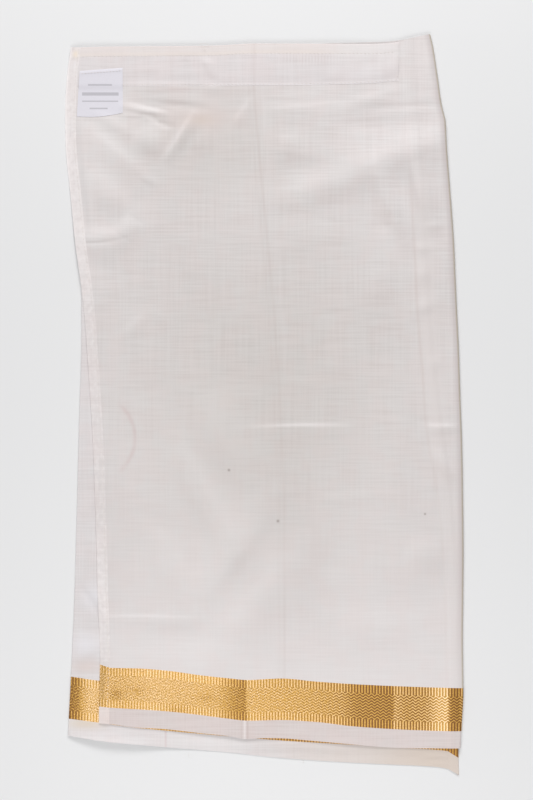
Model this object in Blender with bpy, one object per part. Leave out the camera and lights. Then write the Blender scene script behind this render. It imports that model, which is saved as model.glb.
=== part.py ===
"""A child's wrap dhoti, laid flat and folded as it is worn.

One straight length of cream silk, with a gold border woven in above its plain bottom selvedge, is
wound into a flat spiral of three stretches that lie on each other:

    back    from the right fold to the left fold, flat on the surface
    inner   from the left fold to the hidden end hem, on the back
    front   from the visible end hem to the right fold, on top, wrong side up

Tables are in millimetres: x runs to the right from the garment's centre line, and "down" runs from
its highest point towards the selvedge.  The part's own frame is in metres, +Y towards the waist and
+Z up, with the origin on the surface under the middle of the garment.
"""
import math
from collections import namedtuple

import bmesh
import bpy

# Driving dimensions.
MM = 0.001
LENGTH = 593.2          # from the waist's highest corner to the inner hem's lowest
WALL = 1.0              # thickness of every cloth wall
GAP = 0.3               # air between two pieces of cloth
LAYER = WALL + GAP      # rise from one piece of cloth to the next
RIM_STEPS = 3           # faces round each rounded fold
DIP = 9.0               # distance over which an overhanging edge comes down to the surface
DIP_START = 1.5         # how far past its support an edge stays up
CREASE_FADE = 7.0       # strip along the front's sides in which its creases die out
CREASE_ENDS = 0.35      # what is left of a crease's height at its two ends

INNER_LEVEL = LAYER
FRONT_LEVEL = 2 * LAYER

CLOTH_COLOUR = (0.66, 0.62, 0.60)
GOLD_COLOUR = (0.62, 0.39, 0.14)
LABEL_COLOUR = (0.80, 0.77, 0.80)

# Side edges of the stretches, at sections down the garment.
Section = namedtuple("Section", "down front_left right_fold left_fold inner_end")
SECTIONS = [
    Section(0.0, -154.4, 132.9, -149.6, 118.0),
    Section(10.0, -155.0, 135.2, -149.3, 118.4),
    Section(31.0, -157.8, 138.4, -149.0, 119.4),
    Section(57.0, -159.4, 142.2, -148.6, 121.0),
    Section(70.0, -159.5, 145.2, -148.4, 122.0),
    Section(88.0, -159.2, 146.1, -148.1, 123.3),
    Section(125.0, -155.6, 148.9, -147.5, 125.5),
    Section(165.0, -151.6, 151.8, -147.0, 127.7),
    Section(201.0, -146.7, 153.4, -146.6, 129.6),
    Section(221.0, -144.3, 154.3, -146.5, 130.6),
    Section(253.0, -141.9, 155.8, -146.6, 133.4),
    Section(293.0, -139.2, 157.1, -147.8, 138.2),
    Section(333.0, -136.9, 158.5, -148.9, 143.4),
    Section(373.0, -135.5, 159.1, -149.9, 148.5),
    Section(413.0, -134.2, 159.5, -151.0, 151.5),
    Section(445.0, -133.5, 159.3, -151.9, 153.3),
    Section(485.0, -131.9, 158.9, -153.5, 154.3),
    Section(501.0, -131.5, 159.1, -154.3, 154.6),
    Section(525.0, -132.0, 159.4, -155.5, 154.9),
    Section(552.0, -132.5, 158.1, -156.9, 155.0),
    Section(571.3, -132.8, 157.1, -157.8, 155.2),
    Section(593.2, -133.0, 156.5, -158.2, 155.9),
]

# Lines along the cloth, as distances down the garment: its top edge, both sides of the gold border
# and the bottom selvedge, and on the front the waistband's foot.  "across" runs from 0 at a
# stretch's left side to 1 at its right side.
FrontLine = namedtuple("FrontLine", "across top band_foot gold_top gold_foot foot")
FRONT_LINES = [
    FrontLine(0.00, 10.2, 41.0, 504.2, 537.8, 551.4),
    FrontLine(0.03, 10.6, 40.8, 506.8, 538.8, 551.9),
    FrontLine(0.10, 10.0, 40.6, 507.1, 540.0, 554.6),
    FrontLine(0.18, 9.8, 40.6, 508.7, 541.5, 555.8),
    FrontLine(0.28, 9.6, 40.4, 512.6, 544.6, 559.0),
    FrontLine(0.36, 9.4, 40.2, 515.2, 547.6, 561.4),
    FrontLine(0.41, 9.0, 40.2, 516.6, 549.1, 563.8),
    FrontLine(0.46, 8.1, 40.1, 515.9, 548.9, 563.1),
    FrontLine(0.50, 7.5, 40.0, 515.4, 548.6, 563.2),
    FrontLine(0.60, 7.5, 39.8, 517.9, 550.1, 565.4),
    FrontLine(0.70, 7.8, 39.3, 519.8, 553.5, 568.0),
    FrontLine(0.82, 8.0, 38.3, 521.5, 556.0, 570.8),
    FrontLine(0.90, 6.5, 36.3, 522.4, 557.0, 571.3),
    FrontLine(0.95, 3.0, 35.4, 522.8, 557.4, 571.3),
    FrontLine(1.00, 0.0, 34.6, 523.1, 557.6, 571.3),
]
Line = namedtuple("Line", "across top gold_top gold_foot foot")
INNER_LINES = [
    Line(0.000, 14.2, 514.2, 547.9, 561.4),
    Line(0.080, 13.8, 517.7, 551.2, 565.2),
    Line(0.160, 13.4, 520.4, 553.8, 567.8),
    Line(0.250, 13.0, 523.0, 556.6, 570.6),
    Line(0.400, 12.3, 527.1, 560.7, 574.6),
    Line(0.540, 11.6, 531.0, 564.6, 579.2),
    Line(0.720, 10.8, 534.8, 568.4, 583.0),
    Line(0.840, 10.2, 537.3, 570.9, 584.8),
    Line(0.940, 9.7, 539.0, 572.6, 586.4),
    Line(0.985, 9.5, 541.8, 575.2, 589.4),
    Line(1.000, 9.4, 545.4, 579.2, 593.2),
]
BACK_LINES = [
    Line(0.00, 14.2, 514.2, 547.9, 561.4),
    Line(0.15, 12.4, 515.5, 549.4, 562.9),
    Line(0.50, 8.6, 518.6, 552.8, 566.4),
    Line(0.66, 7.3, 520.1, 554.3, 567.9),
    Line(0.75, 6.4, 520.9, 555.2, 568.8),
    Line(0.88, 5.4, 522.0, 556.4, 570.1),
    Line(0.94, 3.2, 522.6, 557.0, 570.7),
    Line(1.00, 0.0, 523.1, 557.6, 571.3),
]

# The front's largest creases: soft ridges between two (x, down) ends, bowed aside by "bow".
Crease = namedtuple("Crease", "start end bow height width")
CREASES = [
    # Pulls that fan out from the end hem and the label, at the upper left.
    Crease((-144, 72), (-97, 104), 2.0, 2.0, 6.0),
    Crease((-139, 103), (-99, 140), 3.0, 1.8, 7.0),
    Crease((-60, 69), (-86, 114), -2.0, 1.5, 5.0),
    Crease((-100, 64), (-72, 88), 1.0, 1.4, 5.5),
    Crease((-156, 158), (-107, 152), -2.0, 2.2, 6.0),
    # Short pulls under the waistband.
    Crease((-112, 50), (-84, 62), 0.0, 1.2, 4.5),
    Crease((-4, 57), (60, 54), 1.0, 1.4, 5.0),
    Crease((62, 54), (110, 45), 0.0, 1.3, 5.0),
    # Wide bands that run in from the bend in the right fold.
    Crease((12, 86), (142, 74), 4.0, 3.0, 9.5),
    Crease((9, 126), (112, 88), 3.0, 2.5, 9.0),
    Crease((95, 116), (116, 148), 2.0, 1.4, 6.0),
    Crease((119, 104), (135, 138), 1.0, 1.3, 5.5),
    Crease((5, 150), (82, 166), -3.0, 1.2, 11.0),
    # Low broad folds of the lower half.
    Crease((-62, 340), (-20, 410), 3.0, 1.8, 12.0),
    Crease((-91, 380), (-57, 440), 3.0, 1.4, 10.0),
    Crease((29, 392), (-27, 490), -4.0, 2.0, 12.0),
    Crease((96, 282), (101, 412), 0.0, 1.1, 15.0),
    Crease((-120, 466), (-22, 470), 0.0, 1.0, 7.0),
]


def spaced(first, last, count):
    """Even steps from first to last, both included."""
    return [first + (last - first) * step / count for step in range(count + 1)]


# Grid columns, as parts of a stretch's width.  The front's follow its hem, label and waistband.
HEM_ACROSS = 0.029        # the front hem's inner edge
LABEL_ACROSS = 0.15       # the label's right side
BAND_ACROSS = 0.90        # the waistband's end seam
INNER_HEM_ACROSS = 0.974  # the inner end hem's inner edge
SEAM_ACROSS = 0.0012      # the gap beside it
FRONT_COLUMNS = (
    spaced(0.0, HEM_ACROSS, 2)
    + spaced(HEM_ACROSS, LABEL_ACROSS, 4)[1:]
    + spaced(LABEL_ACROSS, BAND_ACROSS, 22)[1:]
    + spaced(BAND_ACROSS, 1.0, 3)[1:]
)
INNER_COLUMNS = spaced(0.0, INNER_HEM_ACROSS - SEAM_ACROSS, 16)
INNER_HEM_COLUMNS = spaced(INNER_HEM_ACROSS, 1.0, 2)
BACK_COLUMNS = spaced(0.0, 1.0, 16)

# Grid rows, as parts of the way between two lines of the cloth.
LABEL_TOP_ROW = 0.61      # the label's top edge, on the waistband
LABEL_FOOT_ROW = 0.0506   # the label's bottom edge, between the waistband and the border
CREASED_END_ROW = 0.36    # end of the most creased cloth, which has the closest rows
BAND_ROWS = [0.0, 0.3, LABEL_TOP_ROW, 1.0]
FRONT_ROWS = (
    spaced(0.0, LABEL_FOOT_ROW, 2)
    + spaced(LABEL_FOOT_ROW, CREASED_END_ROW, 15)[1:]
    + spaced(CREASED_END_ROW, 1.0, 19)[1:]
)
FRONT_GOLD_ROWS = spaced(0.0, 1.0, 3)
FRONT_SELVEDGE_ROWS = spaced(0.0, 1.0, 2)
INNER_ROWS = spaced(0.0, 1.0, 18)
INNER_GOLD_ROWS = [0.0, 0.4, 0.75, 0.87, 1.0]
INNER_SELVEDGE_ROWS = spaced(0.0, 1.0, 4)
BACK_ROWS = spaced(0.0, 1.0, 14)
ONE_ROW = [0.0, 1.0]


def smooth_read(rows, key, at, column):
    """Read a table's column between its rows, on a smooth curve that never overshoots them."""
    places = [getattr(row, key) for row in rows]
    values = [getattr(row, column) for row in rows]
    if at <= places[0]:
        return values[0]
    if at >= places[-1]:
        return values[-1]
    slopes = [
        (values[index + 1] - values[index]) / (places[index + 1] - places[index])
        for index in range(len(places) - 1)
    ]

    def tangent(index):
        before = slopes[max(index - 1, 0)]
        after = slopes[min(index, len(slopes) - 1)]
        if before * after <= 0:
            return 0.0
        return 2 * before * after / (before + after)

    low = max(index for index, place in enumerate(places) if place <= at)
    span = places[low + 1] - places[low]
    part = (at - places[low]) / span
    rise = ease(part)
    leave = part * (1 - part) ** 2 * span * tangent(low)
    arrive = part ** 2 * (1 - part) * span * tangent(low + 1)
    return values[low] * (1 - rise) + values[low + 1] * rise + leave - arrive


def ease(part):
    """A soft step from 0 to 1."""
    part = min(1.0, max(0.0, part))
    return part * part * (3 - 2 * part)


def side_edge(name, down):
    """Where a side edge lies at a section."""
    return smooth_read(SECTIONS, "down", down, name)


def cloth_line(lines, name, across):
    """How far down a line along the cloth lies."""
    return smooth_read(lines, "across", across, name)


def crease_height(crease, x, down):
    """Height of one soft ridge over a point."""
    run_x = crease.end[0] - crease.start[0]
    run_down = crease.end[1] - crease.start[1]
    run = math.hypot(run_x, run_down)
    from_x = x - crease.start[0]
    from_down = down - crease.start[1]
    along = (from_x * run_x + from_down * run_down) / run
    aside = (from_down * run_x - from_x * run_down) / run
    part = min(1.0, max(0.0, along / run))
    beyond = along - part * run
    aside -= crease.bow * 4 * part * (1 - part)
    taper = CREASE_ENDS + (1 - CREASE_ENDS) * math.sin(math.pi * part)
    return crease.height * taper * math.exp(-(aside ** 2 + beyond ** 2) / crease.width ** 2)


def front_under(x, down):
    """Underside of the front: on the inner stretch, raised by creases, down where it overhangs."""
    dip = ease((side_edge("left_fold", down) - x - DIP_START) / DIP)
    from_left = x - side_edge("front_left", down)
    from_right = side_edge("right_fold", down) - RIGHT_FOLD.reach - x
    fade = max(ease(from_left / CREASE_FADE), dip / 2) * ease(from_right / CREASE_FADE)
    creases = sum(crease_height(crease, x, down) for crease in CREASES)
    return FRONT_LEVEL * (1 - dip) + fade * creases


def inner_under(x, down):
    """Underside of the inner stretch: on the back, down where it hangs out below the back."""
    left = side_edge("left_fold", down)
    across = (x - left) / (side_edge("right_fold", down) - left)
    past_back = down - cloth_line(BACK_LINES, "foot", across)
    return INNER_LEVEL * (1 - ease((past_back - DIP_START) / DIP))


def back_under(x, down):
    """Underside of the back, flat on the surface."""
    return 0.0


# A rounded fold between two stretches: how far its outside reaches past the flat cloth, how far its
# inside does, and the height at which it is split into an upper and a lower half.
Fold = namedtuple("Fold", "reach tuck split")
RIGHT_FOLD = Fold((FRONT_LEVEL + WALL) / 2, (FRONT_LEVEL - WALL) / 2, (FRONT_LEVEL + WALL) / 2)
LEFT_FOLD = Fold((INNER_LEVEL + WALL) / 2, WALL / 2, (INNER_LEVEL + WALL) / 2)

# A stretch of cloth: its lines, its side edges, the fold at each side or None, its underside, and
# whether it lies over (1) or under (-1) the middle of its folds.
Stretch = namedtuple("Stretch", "lines left right left_fold right_fold under half")
FRONT = Stretch(FRONT_LINES, "front_left", "right_fold", None, RIGHT_FOLD, front_under, 1)
INNER = Stretch(INNER_LINES, "left_fold", "inner_end", LEFT_FOLD, None, inner_under, 1)
BACK = Stretch(BACK_LINES, "left_fold", "right_fold", LEFT_FOLD, RIGHT_FOLD, back_under, -1)


def cloth_point(stretch, lines, across, part, trim):
    """A point (x, down) at a part of the way between two of the stretch's lines."""
    upper = cloth_line(stretch.lines, lines[0], across) + trim[0]
    lower = cloth_line(stretch.lines, lines[1], across) - trim[1]
    down = upper + part * (lower - upper)
    left = side_edge(stretch.left, down)
    right = side_edge(stretch.right, down)
    if stretch.left_fold:
        left += stretch.left_fold.reach
    if stretch.right_fold:
        right -= stretch.right_fold.reach
    return left + across * (right - left), down


def rim_point(stretch, fold, outward, turn, flat, level, reach):
    """A point on one face of a rounded fold, turned by an angle out of the flat cloth."""
    split = fold.split + stretch.half * GAP / 2
    x = flat[0] + outward * reach * math.sin(turn)
    return x, flat[1], split + (level - split) * math.cos(turn)


def add_rim(stretch, fold, outward, top, under):
    """Carry a stretch's grids round the fold at its left (-1) or right (1) side."""
    flat = list(under[-1] if outward > 0 else under[0])
    reaches = (fold.reach, fold.tuck) if stretch.half > 0 else (fold.tuck, fold.reach)
    for step in range(1, RIM_STEPS + 1):
        turn = math.pi / 2 * step / RIM_STEPS
        for grid, reach, rise in ((top, reaches[0], WALL), (under, reaches[1], 0.0)):
            column = [
                rim_point(stretch, fold, outward, turn, point, point[2] + rise, reach)
                for point in flat
            ]
            grid.insert(len(grid) if outward > 0 else 0, column)


def stretch_grids(stretch, lines, columns, rows, trim=(0.0, 0.0)):
    """Grids of top and underside points, column by column, for the cloth between two lines."""
    top = []
    under = []
    for across in columns:
        places = [cloth_point(stretch, lines, across, part, trim) for part in rows]
        under.append([(x, down, stretch.under(x, down)) for x, down in places])
        top.append([(x, down, z + WALL) for x, down, z in under[-1]])
    if stretch.right_fold and columns[-1] == 1.0:
        add_rim(stretch, stretch.right_fold, 1, top, under)
    if stretch.left_fold and columns[0] == 0.0:
        add_rim(stretch, stretch.left_fold, -1, top, under)
    return top, under


def lying_on(top, lift):
    """Grids of a piece made from the top points of the panel it lies on, moved up row by row."""
    under = [[(x, down, z + rise) for (x, down, z), rise in zip(column, lift)] for column in top]
    return [[(x, down, z + WALL) for x, down, z in column] for column in under], under


def pull_in_left(grid, distance):
    """Draw a grid's left side in, to leave room for a neighbour."""
    moved = []
    for outer, inner in zip(grid[0], grid[1]):
        share = distance / math.dist(outer[:2], inner[:2])
        moved.append(tuple(a + share * (b - a) for a, b in zip(outer, inner)))
    return [moved] + grid[1:]


def principled(name, colour, roughness, metallic):
    """A material of one colour."""
    material = bpy.data.materials.new(name)
    material.use_nodes = True
    shader = material.node_tree.nodes["Principled BSDF"]
    shader.inputs["Base Color"].default_value = (*colour, 1.0)
    shader.inputs["Roughness"].default_value = roughness
    shader.inputs["Metallic"].default_value = metallic
    return material


def silk(name):
    """Cream art silk."""
    return principled(f"{name}_silk", CLOTH_COLOUR, 0.6, 0.0)


def zari(name):
    """Woven gold thread."""
    return principled(f"{name}_zari", GOLD_COLOUR, 0.4, 0.6)


def satin(name):
    """White label tape."""
    return principled(f"{name}_satin", LABEL_COLOUR, 0.5, 0.0)


def add_wall(name, grids, material):
    """Make one closed solid between a grid of top points and a grid of underside points."""
    shape = bmesh.new()
    top, under = (
        [
            [shape.verts.new((x * MM, (LENGTH / 2 - down) * MM, z * MM)) for x, down, z in column]
            for column in grid
        ]
        for grid in grids
    )
    columns = len(top)
    rows = len(top[0])

    def add_quad(a, b, c, d):
        shape.faces.new((a, b, c))
        shape.faces.new((a, c, d))

    for i in range(columns - 1):
        for j in range(rows - 1):
            for grid in (top, under):
                add_quad(grid[i][j], grid[i][j + 1], grid[i + 1][j + 1], grid[i + 1][j])
    for i in range(columns - 1):
        for j in (0, rows - 1):
            add_quad(top[i][j], top[i + 1][j], under[i + 1][j], under[i][j])
    for j in range(rows - 1):
        for i in (0, columns - 1):
            add_quad(top[i][j], top[i][j + 1], under[i][j + 1], under[i][j])
    bmesh.ops.recalc_face_normals(shape, faces=shape.faces)
    mesh = bpy.data.meshes.new(name)
    shape.to_mesh(mesh)
    shape.free()
    mesh.shade_smooth()
    mesh.set_sharp_from_angle(angle=math.radians(50))
    mesh.materials.append(material(name))
    bpy.context.collection.objects.link(bpy.data.objects.new(name, mesh))


def add_bands(name, stretch, columns, cloth_rows, gold_rows, selvedge_rows):
    """The plain cloth, the gold border and the selvedge of one stretch."""
    seam = GAP / 2
    for band, lines, rows, trim, material in (
        ("panel", ("top", "gold_top"), cloth_rows, (0.0, seam), silk),
        ("border", ("gold_top", "gold_foot"), gold_rows, (seam, seam), zari),
        ("selvedge", ("gold_foot", "foot"), selvedge_rows, (seam, 0.0), silk),
    ):
        add_wall(f"{name}_{band}", stretch_grids(stretch, lines, columns, rows, trim), material)


def add_back():
    """The hidden stretch that lies on the surface."""
    add_bands("back", BACK, BACK_COLUMNS, BACK_ROWS, ONE_ROW, ONE_ROW)


def add_inner():
    """The stretch under the front, and the turned hem beside it at its hidden end."""
    for name, columns in (("inner", INNER_COLUMNS), ("inner_end_hem", INNER_HEM_COLUMNS)):
        add_bands(name, INNER, columns, INNER_ROWS, INNER_GOLD_ROWS, INNER_SELVEDGE_ROWS)


def front_grids():
    """Grids of the front's plain cloth, gold border and selvedge, by band name.

    The plain cloth is gridded in two parts that share the line of the waistband's foot.
    """
    seam = GAP / 2
    above = stretch_grids(FRONT, ("top", "band_foot"), FRONT_COLUMNS, BAND_ROWS)
    below = stretch_grids(FRONT, ("band_foot", "gold_top"), FRONT_COLUMNS, FRONT_ROWS, (0.0, seam))
    panel = [
        [head + foot[1:] for head, foot in zip(head_grid, foot_grid)]
        for head_grid, foot_grid in zip(above, below)
    ]
    border = stretch_grids(
        FRONT, ("gold_top", "gold_foot"), FRONT_COLUMNS, FRONT_GOLD_ROWS, (seam, seam)
    )
    selvedge = stretch_grids(
        FRONT, ("gold_foot", "foot"), FRONT_COLUMNS, FRONT_SELVEDGE_ROWS, (seam, 0.0)
    )
    return {"panel": panel, "border": border, "selvedge": selvedge}


def add_front(grids):
    """The stretch on top, and its end hem, turned onto the visible face."""
    hem_columns = FRONT_COLUMNS.index(HEM_ACROSS) + 1
    for band, material in (("panel", silk), ("border", zari), ("selvedge", silk)):
        add_wall(f"front_{band}", grids[band], material)
        strip = grids[band][0][:hem_columns]
        add_wall(f"front_hem_{band}", lying_on(strip, [GAP] * len(strip[0])), material)


def add_waistband(panel_top):
    """The casing sewn along the front's top edge, from the hem to its end seam."""
    first = FRONT_COLUMNS.index(HEM_ACROSS)
    last = FRONT_COLUMNS.index(BAND_ACROSS)
    strip = [column[:len(BAND_ROWS)] for column in panel_top[first:last + 1]]
    strip = pull_in_left(strip, GAP)
    add_wall("waistband", lying_on(strip, [GAP] * len(BAND_ROWS)), silk)


def add_label(panel_top):
    """The label: its top edge on the waistband, its bottom edge on the cloth below it."""
    first = FRONT_COLUMNS.index(HEM_ACROSS)
    last = FRONT_COLUMNS.index(LABEL_ACROSS)
    top_row = BAND_ROWS.index(LABEL_TOP_ROW)
    foot_row = len(BAND_ROWS) - 1 + FRONT_ROWS.index(LABEL_FOOT_ROW)
    strip = [column[top_row:foot_row + 1] for column in panel_top[first:last + 1]]
    strip = pull_in_left(strip, 2 * GAP)
    over_band = GAP + LAYER
    add_wall("care_label", lying_on(strip, [over_band, over_band, over_band / 2, GAP]), satin)


def main():
    for item in list(bpy.data.objects):
        bpy.data.objects.remove(item)
    add_back()
    add_inner()
    grids = front_grids()
    add_front(grids)
    panel_top = grids["panel"][0]
    add_waistband(panel_top)
    add_label(panel_top)


main()
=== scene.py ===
"""The looks of a child's wrap dhoti, laid flat and folded as it is worn.

One straight length of cream art silk, with a gold zari border woven in above its plain selvedge, is
wound into a flat spiral: the back lies on the surface, the inner stretch on the back, and the front
on top, wrong side up.  Each stretch is one grid of points, cut along the border into three thin
shells.  Hems, waistband, label and stitches are made from the same functions.

Tables are in millimetres, as in the solids: x runs to the right from the garment's centre line, and
"down" runs from its highest point towards the selvedge.
"""
import math
from collections import namedtuple

import bpy
import numpy as np
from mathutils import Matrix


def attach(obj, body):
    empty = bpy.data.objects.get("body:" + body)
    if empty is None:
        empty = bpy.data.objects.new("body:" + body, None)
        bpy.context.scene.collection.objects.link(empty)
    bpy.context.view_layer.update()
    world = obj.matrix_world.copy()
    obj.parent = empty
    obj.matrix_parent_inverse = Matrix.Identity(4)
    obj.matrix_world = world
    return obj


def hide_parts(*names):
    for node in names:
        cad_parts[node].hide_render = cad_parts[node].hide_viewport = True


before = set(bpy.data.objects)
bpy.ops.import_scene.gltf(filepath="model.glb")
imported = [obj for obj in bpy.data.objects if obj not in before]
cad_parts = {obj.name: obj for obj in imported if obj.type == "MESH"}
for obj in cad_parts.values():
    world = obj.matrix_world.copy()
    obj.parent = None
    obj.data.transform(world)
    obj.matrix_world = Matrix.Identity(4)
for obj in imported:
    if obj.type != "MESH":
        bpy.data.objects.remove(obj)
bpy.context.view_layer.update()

MM = 0.001
LENGTH = 593.2            # from the waist's highest corner to the inner hem's lowest
CLOTH = 0.20              # thickness of one layer of silk
BACK_Z = 0.30             # middle of the back, over the surface
INNER_Z = 1.50            # middle of the inner stretch
FRONT_Z = 2.85            # middle of the front
RIGHT_REACH = 1.80        # how far the right fold's outside reaches past the flat cloth
LEFT_REACH = 1.15         # how far the left fold's does
FOLD_STEPS = 7            # faces round each half of a fold
DIP = 9.0                 # distance over which an overhanging edge comes down
DIP_START = 1.5           # how far past its support an edge stays up
DEEPEST = 0.75            # how far the front's troughs may sink
LOWEST = 0.38             # lowest middle of the front, where it lies on the surface
EDGE_DROP = 0.75          # how much lower the front's left edge lies on the inner stretch
HEM_LIFT = 0.45           # how far the hidden hem lifts the front
END_DROP = 0.75           # how far the front comes down again past that hem


def rows_of(columns, *rows, defaults=()):
    """A table: rows with named columns."""
    row_type = namedtuple("Row", columns, defaults=defaults)
    return [row_type(*row) for row in rows]


# --- The cut ---

# These tables are the solids' own, but for the foot of the inner stretch's border, which lies up to
# 1 mm off.  First, x of the side edges, at distances down from the waist.
SECTIONS = rows_of(
    "down front_left right_fold left_fold inner_end",
    (0, -154.4, 132.9, -149.6, 118),
    (10, -155, 135.2, -149.3, 118.4),
    (31, -157.8, 138.4, -149, 119.4),
    (57, -159.4, 142.2, -148.6, 121),
    (70, -159.5, 145.2, -148.4, 122),
    (88, -159.2, 146.1, -148.1, 123.3),
    (125, -155.6, 148.9, -147.5, 125.5),
    (165, -151.6, 151.8, -147, 127.7),
    (201, -146.7, 153.4, -146.6, 129.6),
    (221, -144.3, 154.3, -146.5, 130.6),
    (253, -141.9, 155.8, -146.6, 133.4),
    (293, -139.2, 157.1, -147.8, 138.2),
    (333, -136.9, 158.5, -148.9, 143.4),
    (373, -135.5, 159.1, -149.9, 148.5),
    (413, -134.2, 159.5, -151, 151.5),
    (445, -133.5, 159.3, -151.9, 153.3),
    (485, -131.9, 158.9, -153.5, 154.3),
    (501, -131.5, 159.1, -154.3, 154.6),
    (525, -132, 159.4, -155.5, 154.9),
    (552, -132.5, 158.1, -156.9, 155),
    (571.3, -132.8, 157.1, -157.8, 155.2),
    (593.2, -133, 156.5, -158.2, 155.9),
)

# How far down the lines of each stretch lie, at shares of the way across it: the waist's edge, the
# waistband's foot, the gold border's two sides and the selvedge.
FRONT_LINES = rows_of(
    "across top band_foot gold_top gold_foot foot",
    (0, 10.2, 41, 504.2, 537.8, 551.4),
    (0.03, 10.6, 40.8, 506.8, 538.8, 551.9),
    (0.1, 10, 40.6, 507.1, 540, 554.6),
    (0.18, 9.8, 40.6, 508.7, 541.5, 555.8),
    (0.28, 9.6, 40.4, 512.6, 544.6, 559),
    (0.36, 9.4, 40.2, 515.2, 547.6, 561.4),
    (0.41, 9, 40.2, 516.6, 549.1, 563.8),
    (0.46, 8.1, 40.1, 515.9, 548.9, 563.1),
    (0.5, 7.5, 40, 515.4, 548.6, 563.2),
    (0.6, 7.5, 39.8, 517.9, 550.1, 565.4),
    (0.7, 7.8, 39.3, 519.8, 553.5, 568),
    (0.82, 8, 38.3, 521.5, 556, 570.8),
    (0.9, 6.5, 36.3, 522.4, 557, 571.3),
    (0.95, 3, 35.4, 522.8, 557.4, 571.3),
    (1, 0, 34.6, 523.1, 557.6, 571.3),
)
LINE = "across top gold_top gold_foot foot"
INNER_LINES = rows_of(
    LINE,
    (0, 14.2, 514.2, 547.9, 561.4),
    (0.08, 13.8, 517.7, 551.2, 565.2),
    (0.16, 13.4, 520.4, 554.6, 567.8),
    (0.25, 13, 523, 557.4, 570.6),
    (0.4, 12.3, 527.1, 561.6, 574.6),
    (0.54, 11.6, 531, 565.1, 579.2),
    (0.72, 10.8, 534.8, 568.5, 583),
    (0.84, 10.2, 537.3, 570.9, 584.8),
    (0.94, 9.7, 539, 572.6, 586.4),
    (0.985, 9.5, 541.8, 574.6, 589.4),
    (1, 9.4, 545.4, 579.2, 593.2),
)
BACK_LINES = rows_of(
    LINE,
    (0, 14.2, 514.2, 547.9, 561.4),
    (0.15, 12.4, 515.5, 549.4, 562.9),
    (0.5, 8.6, 518.6, 552.8, 566.4),
    (0.66, 7.3, 520.1, 554.3, 567.9),
    (0.75, 6.4, 520.9, 555.2, 568.8),
    (0.88, 5.4, 522, 556.4, 570.1),
    (0.94, 3.2, 522.6, 557, 570.7),
    (1, 0, 523.1, 557.6, 571.3),
)
# Shares of the way across.
HEM_ACROSS = 0.029        # the front hem's inner edge
BAND_ACROSS = 0.90        # the waistband's end seam
INNER_HEM_ACROSS = 0.974  # the inner end hem's inner edge


# --- Folds and creases ---

# A crease is a soft ridge (height above 0) or trough (below 0) between two ends, bowed aside by
# "bow".  Its slopes differ: "upper" is its half width towards the waist, or towards the right on an
# upright crease, and "lower" the one on its other side.
CREASE = "x down end_x end_down height upper lower bow"


def creases(*rows):
    """A table of creases, straight unless a row says otherwise."""
    return rows_of(CREASE, *rows, defaults=(0,))


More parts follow.
